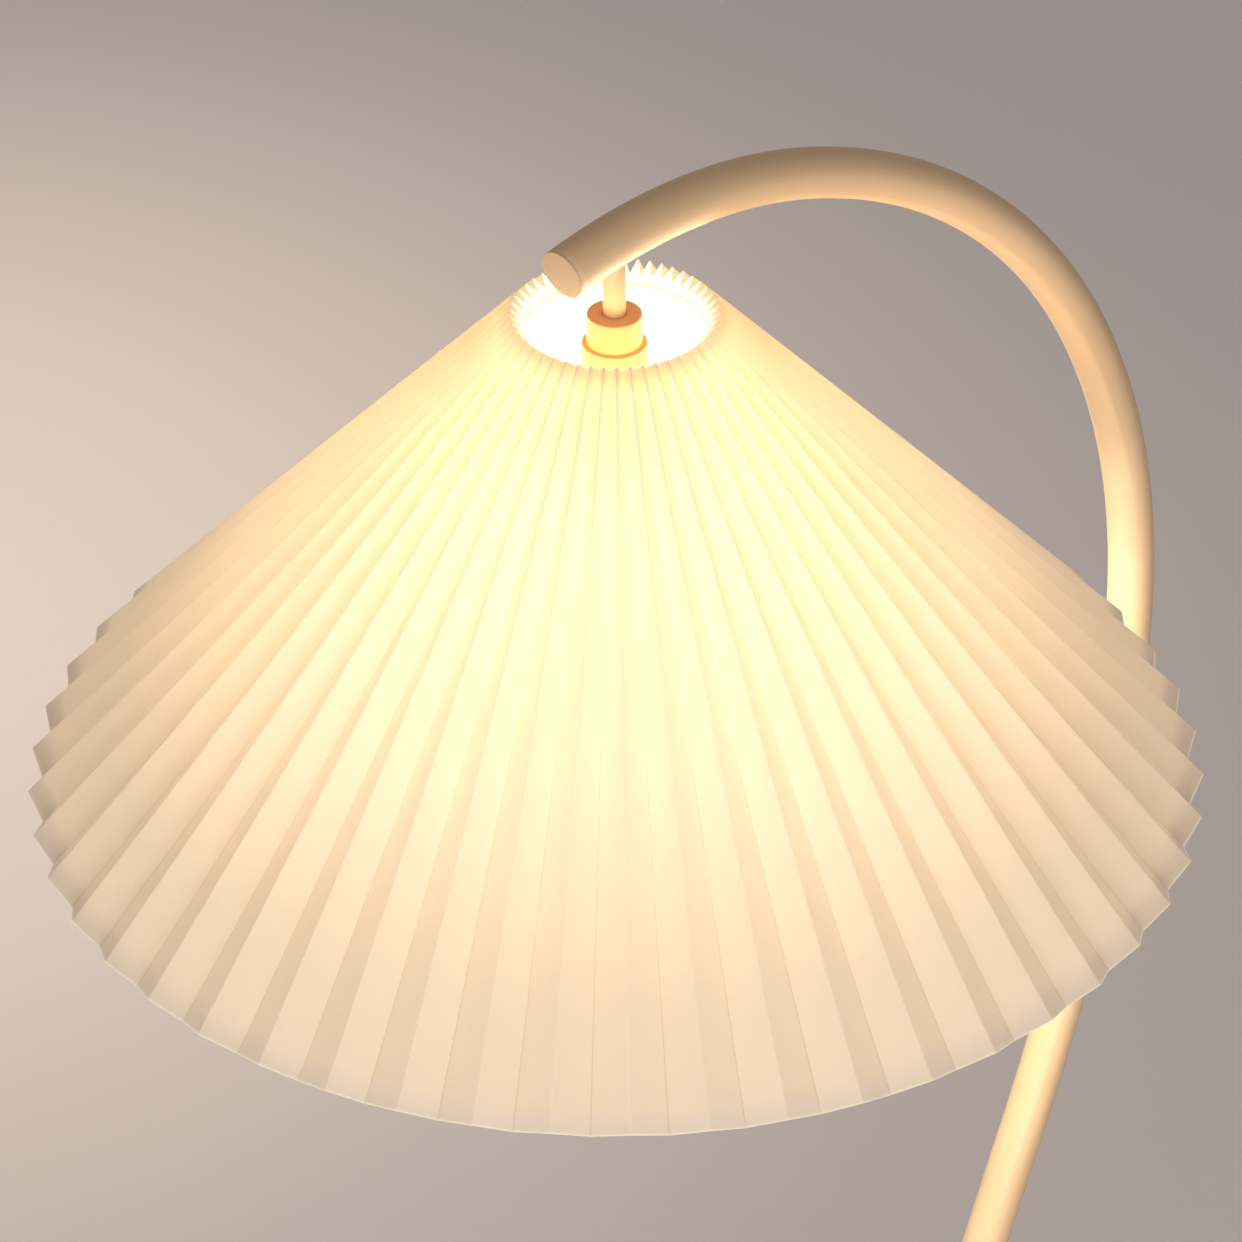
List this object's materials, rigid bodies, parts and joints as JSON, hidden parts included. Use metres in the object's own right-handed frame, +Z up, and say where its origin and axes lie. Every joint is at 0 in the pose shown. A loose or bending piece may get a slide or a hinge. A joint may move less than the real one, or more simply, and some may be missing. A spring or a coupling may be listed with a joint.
{
  "type": "arc floor lamp",
  "caption": "Floor lamp whose bent tube rises from a round weighted base, arches over and hangs a wide pleated cone shade.",
  "frame": {"origin": "on the floor under the centre of the round base", "axes": "+Z up; the tube lies in the XZ plane, its leg leans towards +X and its arc comes back over the base towards -X"},
  "size_m": [0.612, 0.51, 1.5001],
  "materials": {
    "cream_paint": "matte",
    "zinc_steel": "satin",
    "cast_weight": "matte",
    "rubber_pad": "matte",
    "ivory_plastic": "satin",
    "lead_sheath": "matte",
    "insulator": "matte",
    "brass_contact": "satin",
    "frame_wire": "satin",
    "pleated_fabric": "matte",
    "bulb_cap_metal": "satin",
    "bulb_plastic": "matte",
    "bulb_glass": "gloss",
    "bulb_light": "matte"
  },
  "bodies": {
    "stand": {"arc_tube": "cream_paint", "base_cover": "cream_paint", "base_nut": "zinc_steel", "base_pads": "rubber_pad", "base_stud": "zinc_steel", "base_washer": "zinc_steel", "base_weight": "cast_weight", "bottom_plate": "zinc_steel", "centre_contact": "brass_contact", "cord_gland": "ivory_plastic", "hanger_nut": "zinc_steel", "hanger_rod": "cream_paint", "holder_body": "cream_paint", "holder_cap": "cream_paint", "holder_insert": "insulator", "holder_nut": "zinc_steel", "lower_coupler": "zinc_steel", "lower_tube": "cream_paint", "middle_tube": "cream_paint", "plate_screws": "zinc_steel", "saddle_washer": "zinc_steel", "screw_shell": "brass_contact", "shade_ring": "cream_paint", "socket_screws": "zinc_steel", "stem_socket": "cream_paint", "stop_ring": "cream_paint", "switch_bezel": "cream_paint", "switch_housing": "ivory_plastic", "switch_spring": "zinc_steel", "terminal_block": "ivory_plastic", "tip_cap": "cream_paint", "tube_lead": "lead_sheath", "upper_coupler": "zinc_steel"},
    "shade": {"spider_hub": "frame_wire", "spider_arms": "frame_wire", "frame_struts": "frame_wire", "top_ring": "frame_wire", "bottom_ring": "frame_wire", "pleated_shade": "pleated_fabric"},
    "bulb": {"bulb_cap": "bulb_cap_metal", "bulb_insulator": "insulator", "bulb_contact": "brass_contact", "bulb_collar": "bulb_plastic", "bulb_globe": "bulb_glass", "bulb_emitter": "bulb_light"},
    "button": {"foot_button": "ivory_plastic"}
  },
  "joints": [
    {"name": "shade_turn", "type": "hinge", "parent": "stand", "child": "shade", "pos_m": [0.02297, 0, 1.405], "axis": [0, 0, 1], "continuous": true},
    {"name": "bulb_turn", "type": "hinge", "parent": "stand", "child": "bulb", "pos_m": [0.02297, 0, 1.4], "axis": [0, 0, -1], "range_deg": [0, 1440]},
    {"name": "button_press", "type": "slide", "parent": "stand", "child": "button", "axis": [0, 0, -1], "range_m": [0, 0.003], "stiffness_N_per_m": 1300, "springref_m": -0.001, "deforming": ["switch_spring"]}
  ]
}
